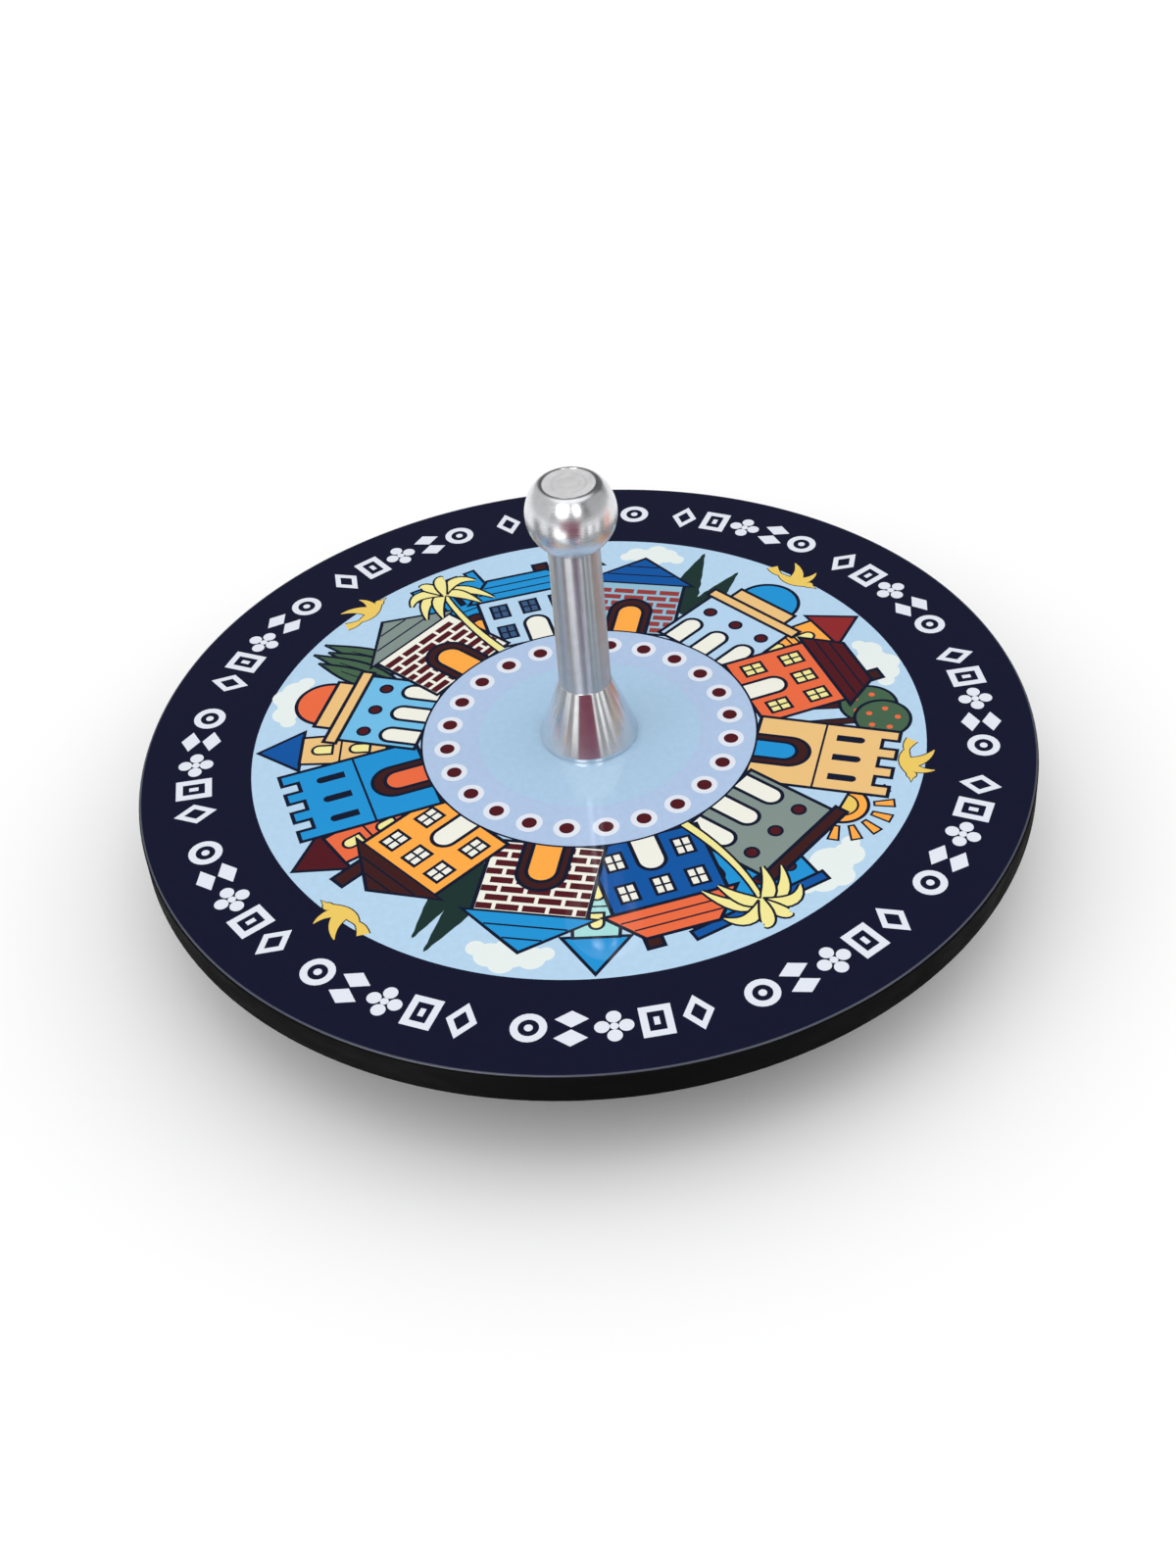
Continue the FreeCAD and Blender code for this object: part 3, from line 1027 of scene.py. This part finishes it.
def draw_back_row():
    """Towers, trees and a viaduct, each in a gap of the front row."""
    draw_tower(Spot(89, 20.5, 3), "cyan", "maroon", 5.0, 8.6)
    draw_pine(Spot(62, 22, 5), 11.2, 4.6)
    draw_pine(Spot(56, 21.5, -4), 9.8, 4.2)
    draw_tower(Spot(29, 20.5, -4), "amber", "sail", 5.0, 8.6)
    draw_round_tree(Spot(3.5, 19, -7), 12.6, 2.9)
    draw_round_tree(Spot(-5.5, 18, 5), 14.6, 2.8)
    draw_sun(Spot(-31, 27.6))
    draw_arcade(Spot(-61, 21.5, -3), "blue", "deep_blue", 6.6, 8.2, 4)
    draw_tower(Spot(-91, 20.5, -3), "mint", "blue", 5.0, 8.4)
    draw_pine(Spot(-118, 21, -5), 12.2, 4.8)
    draw_pine(Spot(-125, 22, 6), 10.2, 4.2)
    draw_tower(Spot(-151, 20.5, 3), "orange", "maroon", 5.0, 8.4)
    draw_tower(Spot(179, 20.5, -2), "sand", "deep_blue", 4.8, 8.6)
    for step in range(4):
        draw_leaf_tree(Spot(143.5 + 3.6 * step, 22.5, 9 - 6 * step), 10.6 - 1.2 * (step % 2), 2.2)
    draw_keep(Spot(119, 19.5, -3), "blue", "amber", 3.8, 12.6)


def draw_front_row():
    """Twelve buildings whose feet stand on the centre ring, each leaning a few degrees."""
    leans = (-2, 2, -2, 3, -2, 2, -1, 2, -3, 2, -2, 2)
    foot, scale = CENTRE_RADIUS - 0.3, 1.14
    plots = iter([Spot(104 - 30 * step, foot, lean, scale) for step, lean in enumerate(leans)])
    draw_house(next(plots), "sky", "blue", "dusk", 4.7, 7.6)
    draw_brick_house(next(plots), "brick", "mortar", "deep_blue", 4.5, 8.0)
    draw_domed_hall(next(plots), "pale_blue", "blue", 4.8, 7.4)
    draw_house(next(plots), "orange", "maroon", "lemon", 4.6, 8.0)
    draw_keep(next(plots), "sand", "blue", 4.3, 12.4)
    draw_arcade(next(plots), "slate", "brown", 4.9, 8.6, 3)
    draw_house(next(plots), "deep_blue", "orange", "cream", 4.8, 8.0)
    draw_brick_house(next(plots), "maroon", "cream", "blue", 4.7, 8.2)
    draw_house(next(plots), "amber", "brown", "cream", 4.6, 8.0, 0)
    draw_keep(next(plots), "blue", "orange", 4.4, 12.2)
    draw_domed_hall(next(plots), "cyan", "orange", 4.6, 7.2)
    draw_brick_house(next(plots), "maroon", "cream", "slate", 4.8, 7.8)


def draw_face():
    draw_rings()
    draw_ornament()
    clouds = [(14, 31.2, 0.9), (164, 31.4, 0.9), (-46, 30.8, 1.0), (-106, 31.0, 0.9), (74, 31.0, 0.8)]
    for angle, radius, scale in clouds:
        draw_cloud(Spot(angle, radius), scale)
    draw_back_row()
    draw_front_row()
    draw_palm(Spot(120, 17.2, 2), 12.6, 0.6, 0.84)
    draw_palm(Spot(-61, 17.0, -3), 12.8, -0.6, 0.84)
    birds = [(134, 33.0, 4), (44, 33.4, -4), (-16, 32.3, 3), (-136, 33.2, -6)]
    for angle, radius, lean in birds:
        draw_bird(Spot(angle, radius, lean, 0.8))
    draw_centre()


# ---------------------------------------------------------------- from drawings to solid inks


def within(points, outline):
    """Which of points lie inside a closed outline, by the even-odd rule."""
    inside = np.zeros(len(points), dtype=bool)
    for start, end in zip(outline, outline[1:] + outline[:1]):
        if start.imag == end.imag:
            continue
        crosses = (points.imag < start.imag) != (points.imag < end.imag)
        run, rise = end.real - start.real, end.imag - start.imag
        reach = start.real + (points.imag - start.imag) * run / rise
        inside ^= crosses & (points.real < reach)
    return inside


def split_face():
    """Cuts the face along every drawn outline, and gives the corners, the triangles and their inks.

    The topmost outline round a triangle's middle decides its ink, and -1 is none.
    """
    hole = circle(0, BORE)
    shapes = drawn + [(None, hole)]
    corners, edges = [], []
    for _, outline in shapes:
        first = len(corners)
        corners += [Vector((point.real, point.imag)) for point in outline]
        edges += [(first + step, first + (step + 1) % len(outline)) for step in range(len(outline))]
    points, _, faces, *_ = delaunay_2d_cdt(corners, edges, [], 0, 1e-4)
    place = np.array([complex(*point) for point in points])
    triangles = np.array([face for face in faces if len(face) == 3])
    middles = place[triangles].mean(axis=1)
    inks = list(INKS)
    chosen = np.full(len(triangles), -1)
    open_ones = np.arange(len(triangles))
    for ink, outline in reversed(shapes):
        xs, ys = [p.real for p in outline], [p.imag for p in outline]
        waiting = middles[open_ones]
        near = (waiting.real > min(xs)) & (waiting.real < max(xs))
        near &= (waiting.imag > min(ys)) & (waiting.imag < max(ys))
        candidates = open_ones[near]
        hit = candidates[within(middles[candidates], outline)]
        chosen[hit] = -1 if ink is None else inks.index(ink)
        open_ones = np.setdiff1d(open_ones, hit, assume_unique=True)
    return place, triangles, chosen


def edges_of(triangle):
    a, b, c = triangle
    return (a, b), (b, c), (c, a)


def ink_solid(name, place, triangles, low, high):
    """A thin closed solid on the triangles. Patches that meet only at a point get a corner each."""
    sides = {}      # edge to triangle
    fans = {}       # corner to the triangles round it
    for index, triangle in enumerate(triangles):
        for edge in edges_of(triangle):
            sides[edge] = index
            fans.setdefault(edge[0], set()).add(index)
    mesh = bmesh.new()
    owner = {}      # triangle and corner to the mesh's upper and lower corner
    for corner, members in fans.items():
        left = set(members)
        while left:
            # triangles share a mesh corner only if edges at it join them
            group, queue = [], [left.pop()]
            while queue:
                index = queue.pop()
                group.append(index)
                for edge in edges_of(triangles[index]):
                    other = sides.get(edge[::-1])
                    if corner in edge and other in left:
                        left.discard(other)
                        queue.append(other)
            x, y = place[corner].real * MM, place[corner].imag * MM
            top, floor = mesh.verts.new((x, y, high * MM)), mesh.verts.new((x, y, low * MM))
            for index in group:
                owner[index, corner] = (top, floor)
    for index, triangle in enumerate(triangles):
        ends = [owner[index, corner] for corner in triangle]
        mesh.faces.new([top for top, _ in ends])
        mesh.faces.new([floor for _, floor in reversed(ends)])
        for step, edge in enumerate(edges_of(triangle)):
            if edge[::-1] not in sides:
                (top, floor), (next_top, next_floor) = ends[step], ends[(step + 1) % 3]
                mesh.faces.new([top, floor, next_floor, next_top])
    data = bpy.data.meshes.new(name)
    mesh.to_mesh(data)
    mesh.free()
    return data


def make_print():
    """The printed sheet under its film: one thin solid for each ink, edge to edge."""
    draw_face()
    place, triangles, chosen = split_face()
    low, high = bottom_of("printed_sheet"), top_of("clear_film")
    for index, (ink, colour) in enumerate(INKS.items()):
        mine = [tuple(triangle) for triangle in triangles[chosen == index].tolist()]
        if mine:
            name = f"print_{ink}"
            mesh = ink_solid(name, place, mine, low, high)
            material = printed_ink(f"ink_{ink}", srgb(*colour), GRAINED.get(ink, 0.0))
            add_piece(name, mesh, material, "spinner", ["printed_sheet", "clear_film"])


# ---------------------------------------------------------------- the scene


def make_lights():
    softbox("overhead", (0.0, 0.15, 2.25), (0, 0, 0), (2.1, 2.1), 4.6)
    softbox("left_window", (-1.8, -0.75, 1.05), (0, 0, 0.02), (1.05, 1.35), 3.4)
    softbox("right_window", (1.95, 0.3, 1.2), (0, 0, 0.02), (0.9, 1.2), 2.7)


make_camera()
make_floor()
make_world()
make_lights()
make_cards()
make_board()
make_film_edge()
make_print()
make_handle()
make_underside()

bpy.context.scene.view_settings.view_transform = "Standard"
bpy.context.scene.view_settings.look = "None"
